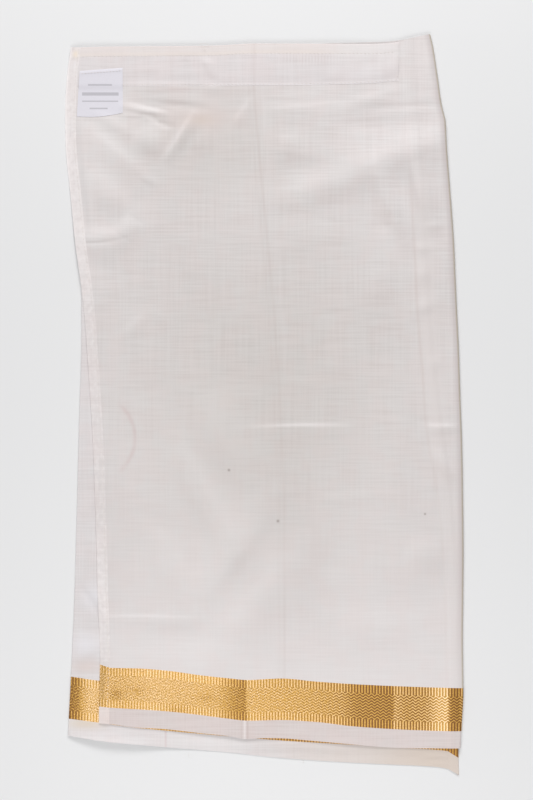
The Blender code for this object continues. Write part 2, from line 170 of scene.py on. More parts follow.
FRONT_CREASES = creases(
    # Pulls that fan out from the end hem and the label, at the upper left.
    (-146, 74, -98, 112, 1.5, 7, 13, 1),
    (-100, 112, -87, 120, 0.55, 4.5, 3),
    (-136, 63, -107, 80, 0.7, 5, 5),
    (-104, 80, -80, 92, 2.1, 12, 9),
    (-57, 65, -77, 98, 1.6, 2.7, 6),
    (-71, 69, -77, 92, -0.5, 2.2, 1.5),
    (-90, 65.5, -72, 74, -0.7, 2.4, 3, 1.5),
    (-113, 65.5, -97, 66, 0.45, 3, 1.2),
    (-97, 67.5, -92, 67, 0.3, 1.8, 1.6),
    (-86, 67, -82, 70, 0.35, 1.8, 1.6),
    (-142, 110, -109, 142, 2.1, 11, 12, 1),
    (-158, 164, -103, 160.5, 2.1, 9, 15, 1.5),
    (-152, 167, -110, 163, -0.5, 1.2, 2.2, 1.5),
    (-114, 162, -104, 147, 1.3, 7, 9),
    (-142, 180, -131, 184, -0.35, 6, 7),
    (-132, 203, -108, 204, 0.7, 7, 8),
    (-116, 243, -91, 222, 0.7, 3, 6),
    (-91, 222, -75, 231, 0.5, 3, 5),
    # Short pulls under the waistband.
    (-112, 42, -56, 42, 0.7, 4, 4.5),
    (-50, 42.5, -34, 43, 0.6, 3, 5),
    (-114, 58, -80, 64, 1.1, 3.4, 2.4),
    (-108, 53.5, -74, 62, -0.35, 1.8, 2.2),
    (-99, 50.5, -50, 53.8, 0.45, 6, 3),
    (-98, 54.6, -46, 58.6, -0.65, 3.2, 4),
    (-9, 50, -25, 74, 0.75, 2.2, 7),
    (-43, 75, -57, 95, 0.8, 5, 11),
    (-2, 60, 58, 57, 0.6, 3, 10, 1),
    (62, 58, 108, 46, 0.8, 5, 6),
    (92, 58.2, 142, 56, -0.5, 2.2, 3),
    (58, 72, 95, 72, -0.8, 4, 6),
    (95, 71, 143, 70, -0.65, 6, 9),
    # Wide bands that run in from the bend in the right fold.
    (8, 90, 52, 98, 0.75, 12, 7),
    (11, 88, 28, 89, 1.1, 9, 11),
    (56, 107, 146, 87, 2.6, 16, 14, 2),
    (20, 106, 50, 108, -0.3, 7, 7),
    (4, 132, 94, 107, 2, 11, 14, 3),
    (90, 106, 112, 164, 3.5, 8, 9),
    (121, 101, 134, 150, 3.3, 7, 8),
    (128, 154, 143, 153, 0.55, 5, 6),
    (86, 150, 100, 157, -0.7, 6, 6),
    (8, 161, 72, 162, 1.1, 13, 14),
    (80, 198, 106, 196, 0.8, 9, 12),
    # The pressed line down the middle and the fine pressed lines across.
    (-8.5, 42, -1.5, 124, -0.25, 1.4, 2.4),
    (-1.5, 124, 14, 330, -0.12, 1, 2.2, -1.8),
    (-19, 190, 35, 184, 0.25, 1, 3),
    (19, 279, 60, 278, 0.4, 1.3, 5),
    (-6, 315, 64, 314, 1.25, 1.5, 12, -0.8),
    (128, 314, 154, 314, 1.3, 1.5, 6),
    (20, 319, 52, 374, 0.25, 1.2, 3),
    (50, 371, 88, 368, 0.65, 2, 6),
    (-95, 156, -94, 206, 0.22, 1, 1.8),
    # Low broad folds of the lower half: crests, with the troughs between them.
    (-98, 290, -80, 316, 0.7, 8, 10),
    (-51, 288, -5, 361, 3.6, 24, 17, 1),
    (-72, 326, -28, 412, 3.7, 10.5, 13),
    (-102, 384, -62, 398, -0.9, 8, 8),
    (-93, 398, -54, 458, 2.2, 13, 13, 1),
    (8, 372, -54, 456, 3.5, 20, 12),
    (26, 398, -40, 474, -0.9, 10, 9),
    (42, 400, -56, 514, 2.7, 21, 20),
    (-138, 466.5, -50, 467.5, 0.9, 1.8, 8),
    (-92, 480, -32, 484, -0.8, 6, 6),
    (-118, 505, -28, 509, 1.6, 12, 12, -2),
    (112, 415, 146, 417, 2.3, 11, 16),
    (60, 456, 146, 452, -0.9, 9, 8),
    (56, 477, 124, 475, 1.4, 12, 15),
    (104, 278, 106, 412, 1.6, 14, 24),
    (136, 332, 153, 358, 2.2, 4.5, 6),
    (98, 97, 147, 82, 0.75, 12, 6, 1),
    (-24, 290, 0, 292, 0.8, 8, 10),
    # Small bumps over the hidden hem.
    (120, 172, 133, 172, 0.7, 5, 3),
    (121, 192, 134, 193, 1, 8, 5),
    (120, 221, 136, 215, 1.1, 5, 5),
    (131, 263, 142, 262, 0.8, 4, 6),
)

# Soft facets of the waistband, between its two rows of stitches.
BAND_CREASES = creases(
    (-49.5, 13, -40, 36, 0.8, 5, 3.6),
    (-42, 40.5, -26, 40.5, 0.35, 7, 8),
    (-26, 40.5, 2, 40.5, 0.3, 8, 8),
    (2, 40.5, 22, 40.5, 0.25, 8, 8),
    (46, 38, 62, 34, 0.4, 6, 2.5),
    (74, 27, 94, 20, -0.25, 6, 6),
    (74, 40.5, 104, 38, 0.4, 8, 6),
    (94, 29, 109, 26, 0.45, 7, 5),
    (-110, 30, -60, 32, 0.3, 8, 6),
)

# Wrinkles of the parts of the inner stretch that show, at the left side and along the foot.  The last
# two rows are broad rolls, which get no painted light and shade.
INNER_CREASES = creases(
    (-150, 438, -131, 466, -0.9, 3.5, 3),
    (-146, 440, -130, 452, 0.5, 4, 4),
    (-155, 499, -130, 490, 1.5, 14, 5),
    (-148, 384, -140, 380, 0.6, 4, 3),
    (-148, 314, -138, 315, 0.3, 1, 1.5),
    (-79.5, 555, -79.5, 572, -0.3, 0.8, 1.2),
    (122, 581, 152, 580, 0.9, 1.8, 2, -2),
    (128, 586, 152, 585, 0.8, 1.6, 2, -2),
    (60, 579, 110, 581, 0.25, 3, 3),
    (-158, 573, -78, 581, 18, 8, 20),
    (-150, 500, -132, 530, 0.8, 6, 5),
)

# Soft rolls in the back, which lies flat on the surface.
BACK_CREASES = creases(
    (-120, 60, -30, 120, 0.35, 8, 8, 5),
    (40, 90, 130, 150, 0.4, 9, 7, -6),
    (-60, 230, 60, 210, 0.35, 10, 9, 4),
    (-100, 330, -20, 420, 0.4, 9, 9, 6),
    (60, 300, 110, 430, 0.35, 10, 9, -5),
    (-70, 470, 70, 480, 0.35, 7, 9, 5),
)


class Curve:
    """A smooth curve through a table's places that never overshoots them."""

    def __init__(self, places, values):
        self.places = np.array(places, float)
        self.values = np.array(values, float)
        slopes = np.diff(self.values) / np.diff(self.places)
        before = np.concatenate((slopes[:1], slopes))
        after = np.concatenate((slopes, slopes[-1:]))
        same_way = before * after > 0
        total = np.where(same_way, before + after, 1.0)
        self.tangents = np.where(same_way, 2 * before * after / total, 0.0)

    def __call__(self, at):
        at = np.clip(at, self.places[0], self.places[-1])
        low = np.searchsorted(self.places, at, side="right") - 1
        low = np.clip(low, 0, len(self.places) - 2)
        span = self.places[low + 1] - self.places[low]
        part = (at - self.places[low]) / span
        rise = ease(part)
        leave = part * (1 - part) ** 2 * span * self.tangents[low]
        arrive = part ** 2 * (1 - part) * span * self.tangents[low + 1]
        return self.values[low] * (1 - rise) + self.values[low + 1] * rise + leave - arrive


def ease(part):
    """A soft step from 0 to 1."""
    part = np.clip(part, 0.0, 1.0)
    return part * part * (3 - 2 * part)


def hump(value, middle, width):
    """A soft hump round a value, 1 in its middle."""
    return np.exp(-((value - middle) / width) ** 2)


def curves(rows, key):
    """One curve for each column of a table, read along its key column."""
    places = [getattr(row, key) for row in rows]
    names = [name for name in rows[0]._fields if name != key]
    return {name: Curve(places, [getattr(row, name) for row in rows]) for name in names}


SIDES = curves(SECTIONS, "down")


class Stretch:
    """One stretch of the cloth: its lines, its side edges, and how far each is moved by a fold."""

    def __init__(self, rows, left, left_reach, right, right_reach):
        self.lines = curves(rows, "across")
        self.sides = ((left, left_reach), (right, right_reach))

    def ends(self, down):
        """x of both side edges."""
        return [SIDES[side](down) + reach for side, reach in self.sides]

    def place(self, across, down):
        """x at a share of the way across."""
        left, right = self.ends(down)
        return left + across * (right - left)

    def across(self, x, down):
        """The share of the way across at x."""
        left, right = self.ends(down)
        return (x - left) / (right - left)

    def points(self, across, rows):
        """(x, down) of a grid's points: rows is a list of (upper line, lower line, parts)."""
        downs = []
        for upper, lower, parts in rows:
            top = self.lines[upper](across)[:, None]
            foot = self.lines[lower](across)[:, None]
            chosen = parts[1:] if downs else parts
            downs.append(top + chosen[None, :] * (foot - top))
        down = np.concatenate(downs, axis=1)
        return self.place(across[:, None], down), down


FRONT = Stretch(FRONT_LINES, "front_left", 0, "right_fold", -RIGHT_REACH)
INNER = Stretch(INNER_LINES, "left_fold", LEFT_REACH, "inner_end", 0)
BACK = Stretch(BACK_LINES, "left_fold", LEFT_REACH, "right_fold", -RIGHT_REACH)


def crease_height(crease, x, down):
    """Height of one crease over the points."""
    run_x = crease.end_x - crease.x
    run_down = crease.end_down - crease.down
    run = math.hypot(run_x, run_down)
    from_x = x - crease.x
    from_down = down - crease.down
    along = (from_x * run_x + from_down * run_down) / run
    aside = (from_down * run_x - from_x * run_down) / run
    part = np.clip(along / run, 0.0, 1.0)
    beyond = along - part * run
    aside = aside - crease.bow * 4 * part * (1 - part)
    if run_x < 0:
        aside = -aside
    width = np.where(aside < 0, crease.upper, crease.lower)
    mean_width = (crease.upper + crease.lower) / 2
    taper = 0.30 + 0.70 * np.sin(np.pi * part)
    fall = (aside / width) ** 2 + (beyond / mean_width) ** 2
    return crease.height * taper * np.exp(-fall)


def crease_sum(rows, x, down):
    """Height of all the creases of one stretch."""
    return sum(crease_height(crease, x, down) for crease in rows)


SWAY_WAVES = 30


def sway(x, down, size, seed):
    """A low uneven roll of the cloth, from many long waves of fixed random directions."""
    draw = np.random.default_rng(seed)
    total = np.zeros_like(x)
    for _ in range(SWAY_WAVES):
        length = draw.uniform(35.0, 130.0)
        turn = draw.uniform(0, math.pi)
        phase = draw.uniform(0, 2 * math.pi)
        wave = (x * math.cos(turn) + down * math.sin(turn)) * 2 * math.pi / length + phase
        total = total + np.sin(wave) * length / 130.0
    return total * size / math.sqrt(SWAY_WAVES)


def left_dip(x, down):
    """How far the front has come down past the left fold, from 0 to 1."""
    return ease((SIDES["left_fold"](down) - x - 1.2) / 8.0)


def hem_ghost(down):
    """Where the hidden inner end hem's inner edge lies, under the front."""
    return INNER.place(INNER_HEM_ACROSS, down) - 3.0 * hump(down, 318.0, 38.0)


def front_base(x, down):
    """Height of the front's middle before its creases: on the inner stretch, down at the left."""
    dip = left_dip(x, down)
    from_left = x - SIDES["front_left"](down)
    on_inner = (1 - dip) * (1 - ease((from_left + 0.5) / 7.0)) * EDGE_DROP
    hem_step = x - hem_ghost(down)
    past_end = x - SIDES["inner_end"](down)
    over_hem = HEM_LIFT * ease((hem_step + 1.2) / 1.6) - END_DROP * ease((past_end + 0.4) / 2.6)
    near_fold = ease((SIDES["right_fold"](down) - x - 2.0) / 6.0)
    return FRONT_Z - dip * (FRONT_Z - LOWEST) - on_inner + over_hem * near_fold


def front_folds(x, down):
    """Height of the front's creases and rolls over its base; its troughs stay over the inner."""
    from_left = x - SIDES["front_left"](down)
    from_right = SIDES["right_fold"](down) - x
    fade = np.maximum(ease(from_left / 7.0), left_dip(x, down) / 2)
    fade = fade * ease((from_right - 0.3) / 2.8)
    folds = crease_sum(FRONT_CREASES, x, down) + sway(x, down, 0.35, 5)
    shallow = -DEEPEST * np.tanh(-np.minimum(folds, 0.0) / DEEPEST)
    return fade * np.where(folds < 0, shallow, folds)


def front_height(x, down):
    """Height of the front's middle surface."""
    return np.maximum(front_base(x, down) + front_folds(x, down), LOWEST)


def tilt(x, down, folds):
    """How steeply folds rise or fall away from the waist, as far as the eye takes them to: the slope
    that the painted light and shade follow.
    """
    per_row = np.gradient(folds, axis=1) / np.gradient(down, axis=1)
    along = np.gradient(folds, axis=0) - per_row * np.gradient(down, axis=0)
    per_column = along / np.gradient(x, axis=0)
    steepness = np.hypot(per_row, per_column)
    return np.sign(per_row) * np.sqrt(np.abs(per_row) * steepness)


def inner_height(x, down):
    """Height of the inner stretch, which comes down where it hangs out below the back."""
    left = SIDES["left_fold"](down)
    across = (x - left) / (SIDES["right_fold"](down) - left)
    dip = ease((down - BACK.lines["foot"](across) - DIP_START) / DIP)
    fade = ease((x - left - 1.0) / 4.0)
    folds = crease_sum(INNER_CREASES, x, down) * fade + sway(x, down, 0.12, 8) * fade
    return np.maximum(INNER_Z - dip * (INNER_Z - 0.35) + folds * (1 - 0.6 * dip), 0.34)


def back_height(x, down):
    """Height of the back, flat on the surface but for low rolls."""
    from_left = ease((x - SIDES["left_fold"](down) - 2.0) / 8.0)
    from_right = ease((SIDES["right_fold"](down) - x - 2.5) / 8.0)
    return BACK_Z + crease_sum(BACK_CREASES, x, down) * from_left * from_right


# --- Thin shells from grids ---

# A grid holds the middle surface of a sheet: arrays of x, down and z in millimetres, column by
# column.  Its maps hold pairs of arrays that its materials read: "cloth" has its own place, "fold"
# the slope of its folds, which the painted light and shade follow, and the distance from its edge,
# and "border" and "tone" are for the zari.
# The front has two more: "lines" and "hem", whose second array only fills the pair.
Grid = namedtuple("Grid", "x down z maps")


def stops(*runs):
    """Places along a line, from runs of (first, last, count of steps)."""
    places = [runs[0][0]]
    for first, last, count in runs:
        places.extend(first + (last - first) * step / count for step in range(1, count + 1))
    return np.array(places, float)


def rows_down(*parts):
    """A stretch's parts, down from its top: (upper line, lower line, places from 0 to 1) for each.

    A part is its places or a number of equal steps.  Of four parts, the first is the waistband's.
    """
    marks = ["top", "band_foot", "gold_top", "gold_foot", "foot"]
    if len(parts) == 3:
        marks.remove("band_foot")
    places = [stops((0, 1, part)) if isinstance(part, int) else part for part in parts]
    return list(zip(marks, marks[1:], places))


def rounded(x, down, z, outward, reach, split):
    """Carry a sheet's grid round the fold at its right (1) or left (-1) side."""
    edge = -1 if outward > 0 else 0
    turns = np.linspace(0, math.pi / 2, FOLD_STEPS + 1)[1:]
    new_x = [x[edge] + outward * (reach - CLOTH / 2) * math.sin(turn) for turn in turns]
    new_z = [split + (z[edge] - split) * math.cos(turn) for turn in turns]
    new_down = [down[edge]] * FOLD_STEPS
    pairs = ((x, new_x), (down, new_down), (z, new_z))
    if outward > 0:
        return [np.concatenate(pair) for pair in pairs]
    return [np.concatenate((new[::-1], old)) for old, new in pairs]


def in_frame(x, down, z):
    """Points in the part's own frame, in millimetres."""
    return np.stack((x, LENGTH / 2 - down, z), axis=-1)


def surface_normals(points):
    """Upward normals of a grid whose columns run to the right and whose rows run down."""
    normal = np.cross(np.gradient(points, axis=1), np.gradient(points, axis=0))
    return normal / np.maximum(np.linalg.norm(normal, axis=-1, keepdims=True), 1e-12)


def grid_faces(columns, rows, first, upward):
    """Quads of a grid of points that start at an index."""
    index = first + np.arange(columns * rows).reshape(columns, rows)
    a, b = index[:-1, :-1], index[:-1, 1:]
    c, d = index[1:, 1:], index[1:, :-1]
    corners = (a, b, c, d) if upward else (a, d, c, b)
    return np.stack(corners, axis=-1).reshape(-1, 4)


def rim_faces(columns, rows):
    """Quads that close the rim between a top grid and the underside grid that follows it."""
    index = np.arange(columns * rows).reshape(columns, rows)
    loop = np.concatenate((index[:, 0], index[-1, 1:], index[-2::-1, -1], index[0, -2::-1]))
    under = loop + columns * rows
    return np.stack((loop[:-1], loop[1:], under[1:], under[:-1]), axis=-1)


def add_object(name, data):
    """A new object in the scene."""
    made = bpy.data.objects.new(name, data)
    bpy.context.scene.collection.objects.link(made)
    return made


def add_mesh(name, points, faces, material):
    """A smooth mesh object of one material, from points in metres."""
    mesh = bpy.data.meshes.new(name)
    mesh.from_pydata(points, [], faces)
    mesh.shade_smooth()
    mesh.materials.append(material)
    return add_object(name, mesh)


def add_uv(mesh, name, pairs):
    """A UV layer from one (u, v) for each point."""
    layer = mesh.uv_layers.new(name=name)
    corner_points = np.zeros(len(mesh.loops), int)
    mesh.loops.foreach_get("vertex_index", corner_points)
    layer.uv.foreach_set("vector", pairs[corner_points].astype(np.float32).ravel())


def add_shell(name, grid, material, rows=slice(None), thickness=CLOTH):
    """A closed thin shell round some rows of a grid, with sharp rims."""
    points = in_frame(grid.x, grid.down, grid.z) * MM
    half = surface_normals(points) * thickness * MM / 2
    top = (points + half)[:, rows]
    under = (points - half)[:, rows]
    columns, count = top.shape[:2]
    faces = np.concatenate((
        grid_faces(columns, count, 0, True),
        grid_faces(columns, count, columns * count, False),
        rim_faces(columns, count),
    ))
    both = np.concatenate((top.reshape(-1, 3), under.reshape(-1, 3)))
    made = add_mesh(name, both.tolist(), faces.tolist(), material)
    made.data.set_sharp_from_angle(angle=math.radians(50))
    for map_name, (u, v) in grid.maps.items():
        pairs = np.stack((u[:, rows], v[:, rows]), axis=-1).reshape(-1, 2) * MM
        add_uv(made.data, map_name, np.concatenate((pairs, pairs)))
    return made


# --- Materials ---

def put(socket, value):
    """Give a socket a number, a colour or another node's value."""
    if isinstance(value, Value):
        value.tree.links.new(value.socket, socket)
    elif isinstance(value, tuple):
        socket.default_value = (*value, 1.0)
    else:
        socket.default_value = value


def add_node(tree, kind, inputs, output=0, **settings):
    """Add a node, fill its inputs and give one of its outputs back."""
    node = tree.nodes.new("ShaderNode" + kind)
    for name, value in settings.items():
        setattr(node, name, value)
    for name, value in inputs.items():
        put(node.inputs[name], value)
    return Value(tree, node.outputs[output])


class Value:
    """A number in a material's nodes: plain arithmetic with it adds Math nodes."""

    def __init__(self, tree, socket):
        self.tree = tree
        self.socket = socket

    def math(self, operation, *values):
        """A Math node of this value and one other, or of two other values."""
        values = values if len(values) == 2 else (self, *values)
        return add_node(self.tree, "Math", dict(enumerate(values)), operation=operation)

    def __add__(self, other):
        return self.math("ADD", other)

    def __sub__(self, other):
        return self.math("SUBTRACT", other)

    def __rsub__(self, other):
        return self.math("SUBTRACT", other, self)

    def __mul__(self, other):
        return self.math("MULTIPLY", other)

    def __truediv__(self, other):
        return self.math("DIVIDE", other)

    __radd__ = __add__
    __rmul__ = __mul__

    def step(self, low, high, bottom=0, top=1):
        """A soft step between low and high."""
        inputs = dict(enumerate((self, low, high, bottom, top)))
        return add_node(self.tree, "MapRange", inputs, interpolation_type="SMOOTHSTEP")

    def bell(self, middle, width):
        """A soft mark around a value: 1 in its middle, 0 past about twice its width."""
        off = (self - middle) / width
        return self.math("POWER", math.e, off * off * -1)

    def within(self, middle, half):
        """1 up to half a width from a middle, with a soft edge."""
        return (self - middle).math("ABSOLUTE").step(half - 0.3, half + 0.3, 1, 0)

    def wave(self, length):
        """A sine wave of a length, from -1 to 1."""
        return (self * (2 * math.pi / length)).math("SINE")

    def noise(self, other, detail, seed):
        """Noise over this number and another, from 0 to 1 about 0.5."""
        place = add_node(self.tree, "CombineXYZ", {0: self, 1: other, 2: seed})
        inputs = {"Vector": place, "Scale": 1, "Detail": detail}
        return add_node(self.tree, "TexNoise", inputs)


Tones = namedtuple("Tones", "light shade")
CREAM = Tones((0.752, 0.712, 0.706), (0.656, 0.612, 0.602))
LAYERED = Tones((0.760, 0.712, 0.705), (0.676, 0.629, 0.617))    # where the hem doubles the cloth
CASING = Tones((0.730, 0.684, 0.684), (0.648, 0.600, 0.596))     # the waistband
HEM_FOOT = Tones((0.770, 0.685, 0.655), (0.688, 0.602, 0.575))
SELVEDGE = Tones((0.678, 0.610, 0.594), (0.600, 0.524, 0.502))
UNDER = Tones((0.742, 0.706, 0.706), (0.634, 0.594, 0.588))      # the inner stretch
CENTRE_SHADE = (0.812, 0.804, 0.774)           # painted shade: how the front darkens towards its middle, where the lamps' light falls off
WARM_TINT = (1.0, 0.983, 0.985)
COOL_TINT = (0.992, 0.997, 1.002)
PAINTED_LIGHT = (0.860, 0.820, 0.835)              # painted light, where a fold's side faces the waist and the lamps
PAINTED_SHADE = (0.485, 0.390, 0.362)            # painted shade, where it faces the foot
SILK_WARM = (0.655, 0.562, 0.492)
SILK_PINK = (0.665, 0.562, 0.532)
SILK_YELLOW = (0.700, 0.590, 0.475)
# Painted light and painted shade for the inner stretch beside its left fold.
PAINTED_BLUE_LIGHT = (0.758, 0.752, 0.787)
PAINTED_PINK_SHADE = (0.670, 0.570, 0.540)
# A stain's colour, also painted as shade along a crease on the inner stretch.
STAIN_AND_CREASE_SHADE = (0.580, 0.430, 0.420)
# The specks' colour, also painted as shade along the left fold's edge.
SPECK_AND_EDGE_SHADE = (0.360, 0.310, 0.290)
HEADER_CREAM = (0.800, 0.722, 0.680)
CORNER_STAIN = (0.860, 0.720, 0.540)
# Painted shade on the right fold's edge and inside it.
FOLD_SHADE_PINK = (0.380, 0.315, 0.315)
FOLD_EDGE_SHADE = (0.350, 0.290, 0.120)
HEM_PALE = (0.930, 0.885, 0.880)
HEM_SHADE = (0.470, 0.445, 0.450)
HEM_DULL = (0.600, 0.550, 0.545)
GHOST = (0.716, 0.662, 0.650)            # the hidden hem, where it shows through


class Paint:
    """A material in the making: the colours laid on it so far, and its shader."""

    def __init__(self, name):
        self.material = bpy.data.materials.new(name)
        self.material.use_nodes = True
        self.tree = self.material.node_tree
        self.colour = (1.0, 1.0, 1.0)

    def uv(self, layer):
        """The two numbers of a UV layer, in millimetres."""
        place = add_node(self.tree, "UVMap", {}, uv_map=layer)
        return [add_node(self.tree, "SeparateXYZ", {0: place}, axis) * (1 / MM) for axis in (0, 1)]

    def mix(self, share, a, b, blend="MIX"):
        """Two colours mixed by a share."""
        inputs = {0: share, 6: a, 7: b}
        return add_node(self.tree, "Mix", inputs, 2, data_type="RGBA", blend_type=blend)

    def lay(self, share, colour, blend="MIX"):
        """Lay a share of a colour over what is there."""
        self.colour = self.mix(share, self.colour, colour, blend)

    def ramp(self, value, rows):
        """A smooth curve of a value, from rows of (place, height) with places from 0 to 1."""
        node = self.tree.nodes.new("ShaderNodeValToRGB")
        node.color_ramp.interpolation = "EASE"
        marks = node.color_ramp.elements
        while len(marks) < len(rows):
            marks.new(0.5)
        for mark, (place, height) in zip(marks, rows):
            mark.position = place
            mark.color = (height, height, height, 1.0)
        put(node.inputs[0], value)
        return Value(self.tree, node.outputs[0])

    def bump(self, height, distance, strength):
        """A normal from a height, with its distance in millimetres."""
        inputs = {"Height": height, "Distance": distance * MM, "Strength": strength}
        return add_node(self.tree, "Bump", inputs)

    def finish(self, **values):
        """Set the shader's own sockets and give the material back."""
        shader = self.tree.nodes["Principled BSDF"]
        put(shader.inputs["Base Color"], self.colour)
        for name, value in values.items():
            put(shader.inputs[name.replace("_", " ")], value)
        return self.material


class Silk(Paint):
    """Art silk: its weave and its clouds of colour, with what is laid over them.

    The weave's contrast is a number, or the numbers of a step down the cloth.
    """

    def __init__(self, name, tones=CREAM, contrast=1.4):
        super().__init__(name)
        x, up = self.uv("cloth")
        self.x = x
        self.down = up * -1
        if isinstance(contrast, tuple):
            contrast = self.down.step(*contrast)
        weft = (x * 0.026).noise(up * 0.66, 2, 1)
        warp = (x * 0.75).noise(up * 0.018, 2, 2)
        fine = (x * 3.1).noise(up * 3.1, 1, 3)
        self.weave = weft * 0.62 + warp * 0.38 + fine * 0.25
        broad = (x * 0.010).noise(up * 0.008, 3, 4)
        tone = broad * 0.55 + (self.weave - 0.625) * contrast
        self.colour = self.mix(tone.step(-0.125, 0.505), tones.shade, tones.light)
        clouds = (x * 0.060).noise(up * 0.050, 2, 12)
        tint = self.mix(clouds.step(0.36, 0.64), WARM_TINT, COOL_TINT)
        self.lay(1.0, tint, "MULTIPLY")

    def spots(self, rows):
        """Soft stains and pale places, and patches of painted light and shade, from a table."""
        for row in rows:
            place = self.x.bell(row.x, row.across) * self.down.bell(row.down, row.along)
            self.lay(place * row.share, row.colour)

    def tint_folds(self):
        """Painted light and shade on the folds: lighter and cooler where a fold's side faces the
        waist, darker and warmer where it faces the foot.
        """
        slope, _ = self.uv("fold")
        self.lay(slope.step(0.02, 0.60, 0, 0.32), PAINTED_LIGHT)
        self.lay((slope * -1).step(0.02, 0.60, 0, 0.36), PAINTED_SHADE)

    def done(self):
        """The surface that all the silk pieces share."""
        return self.finish(
            Normal=self.bump(self.weave, 0.10, 0.22),
            Roughness=0.52,
            Sheen_Weight=0.25,
            Sheen_Roughness=0.45,
            Specular_IOR_Level=0.35,
        )


SPOT = "x down across along share colour"
FRONT_SPOTS = rows_of(
    SPOT,
    (-52, 67, 27, 10, 0.60, SILK_PINK),
    (-50, 69, 9, 4.5, 0.17, (0.690, 0.560, 0.440)),
    # The next three rows are painted shade below the waistband's foot.
    (-78, 45, 34, 5, 0.06, PAINTED_SHADE),
    (-72, 44, 20, 2.4, 0.22, (0.620, 0.500, 0.490)),
    (-22, 46, 26, 6, 0.16, PAINTED_SHADE),
)
INNER_SPOTS = rows_of(
    SPOT,
    # The first three rows are painted light and painted shade beside the left fold.
    (-142.7, 488.6, 13, 10, 0.60, PAINTED_BLUE_LIGHT),
    (-143.5, 506, 12, 6, 0.62, PAINTED_PINK_SHADE),
    (-136.7, 450, 11, 12, 0.55, PAINTED_BLUE_LIGHT),
    (-143, 551.5, 14, 4.5, 0.72, SILK_YELLOW),
    (-47, 570, 32, 8, 0.40, (0.850, 0.820, 0.820)),
)
BAND_SPOTS = rows_of(
    SPOT,
    (76, 30, 30, 9, 0.35, (0.800, 0.765, 0.775)),
    (86, 13, 34, 9, 0.50, (0.825, 0.795, 0.790)),
)
HEM_SPOTS = rows_of(
    SPOT,
    (-145, 105, 400, 105, 0.32, HEM_PALE),
    (-145, 172, 400, 17, 0.20, HEM_PALE),
    (-145, 400, 400, 100, 0.08, HEM_DULL),
    (-145, 447, 400, 30, 0.30, HEM_PALE),
    (-151, 16, 2.6, 3.2, 0.50, CORNER_STAIN),
)
WARMTH_SPAN = 320         # the width that the next table runs across
INNER_WARMTH = [(0.0, 0.0), (0.45, 0.05), (0.70, 0.45), (0.92, 0.95), (1.0, 0.85)]


def warm_silk(name):
    """The inner stretch's silk, which shows warmer towards its right end."""
    cloth = Silk(name, UNDER, 1.0)
    cloth.tint_folds()
    across = (cloth.x + WARMTH_SPAN / 2) / WARMTH_SPAN
    cloth.lay(cloth.ramp(across, INNER_WARMTH), SILK_WARM)
    foot = cloth.down.step(556, 558)
    # Painted shade along a pressed crease at the foot.
    cloth.lay(cloth.x.bell(-79, 0.8) * foot * 0.40, STAIN_AND_CREASE_SHADE)
    cloth.spots(INNER_SPOTS)
    # Painted shade along the left fold's edge at the foot.
    cloth.lay(cloth.x.bell(-158.5, 2.2) * foot * 0.30, SPECK_AND_EDGE_SHADE)
    return cloth.done()


# The faint stain's outline is part of an oval.
STAIN_X = -125.9
STAIN_DOWN = 323.0
STAIN_ACROSS = 22.4
STAIN_ALONG = 28.8

SPECKS = rows_of("x down size", (-28.3, 348.6, 1.0), (10.9, 389.4, 1.1), (128.5, 383.8, 0.8))


def stain_share(x, down):
    """How strong the stain's curved edge is."""
    off_x = (x - STAIN_X) / STAIN_ACROSS
    off_down = (down - STAIN_DOWN) / STAIN_ALONG
    edge = (off_x * off_x + off_down * off_down).math("SQRT").bell(1, 0.075)
    uneven = (x * 0.10).noise(down * 0.10, 1, 6)
    return edge * off_x.step(0.35, 0.62) * (uneven + 0.1)


def front_silk(name):
    """The front's silk, with its stain, its specks and the hem that shows through."""
    cloth = Silk(name, CREAM, (280, 440, 1.25, 0.50))
    x = cloth.x
    down = cloth.down
    from_ghost, from_press = cloth.uv("lines")
    # Painted shade: the front darker towards its middle, and below the waistband.
    cloth.lay(x.bell(0, 130) * down.bell(290, 150) * 0.75, CENTRE_SHADE, "MULTIPLY")
    cloth.lay(x.bell(-45, 75) * down.bell(85, 45) * 0.50, CENTRE_SHADE, "MULTIPLY")
    cloth.tint_folds()
    cloth.lay(stain_share(x, down) * 0.45, STAIN_AND_CREASE_SHADE)
    cloth.lay(sum(x.bell(row.x, row.size) * down.bell(row.down, row.size) for row in SPECKS), SPECK_AND_EDGE_SHADE)
    cloth.spots(FRONT_SPOTS)
    shown = down.step(60, 190)
    # Painted shade along the step over the hidden hem's edge.
    line = from_ghost.bell(-0.9, 1.5) * down.step(270, 350, 0.28, 0.10)
    cloth.lay(line * shown, PAINTED_SHADE)
    strip = from_ghost.bell(7.5, 7.5) * down.step(280, 340, 0.80, 0.40)
    cloth.lay(strip * shown, GHOST)
    # Painted shade along the pressed line down the middle, and a painted highlight beside it.
    press = from_press.bell(0, 1.3) + from_press.bell(-4.2, 1.2) * 0.5
    cloth.lay(press * down.step(60, 200, 0.17, 0.12), PAINTED_SHADE)
    cloth.lay(from_press.bell(6.8, 2.6) * down.step(230, 340, 0.05, 0), PAINTED_LIGHT)
    tint_edges(cloth, down)
    return cloth.done()


def tint_edges(cloth, down):
    """Painted shade on the right fold's edge and inside it, and a painted shadow along the front hem.
    """
    _, from_right = cloth.uv("fold")
    from_hem, _ = cloth.uv("hem")
    cloth.lay(from_right.step(1, 7, 1, 0) * down.step(420, 560, 0.36, 0.14), FOLD_SHADE_PINK)
    cloth.lay(from_right.step(0.8, 2.0, 0.40, 0), FOLD_EDGE_SHADE)
    upper = down.step(60, 85) * down.step(145, 165, 1, 0)
    cloth.lay(from_hem.bell(2.6, 2.4) * upper * 0.14, HEM_SHADE)


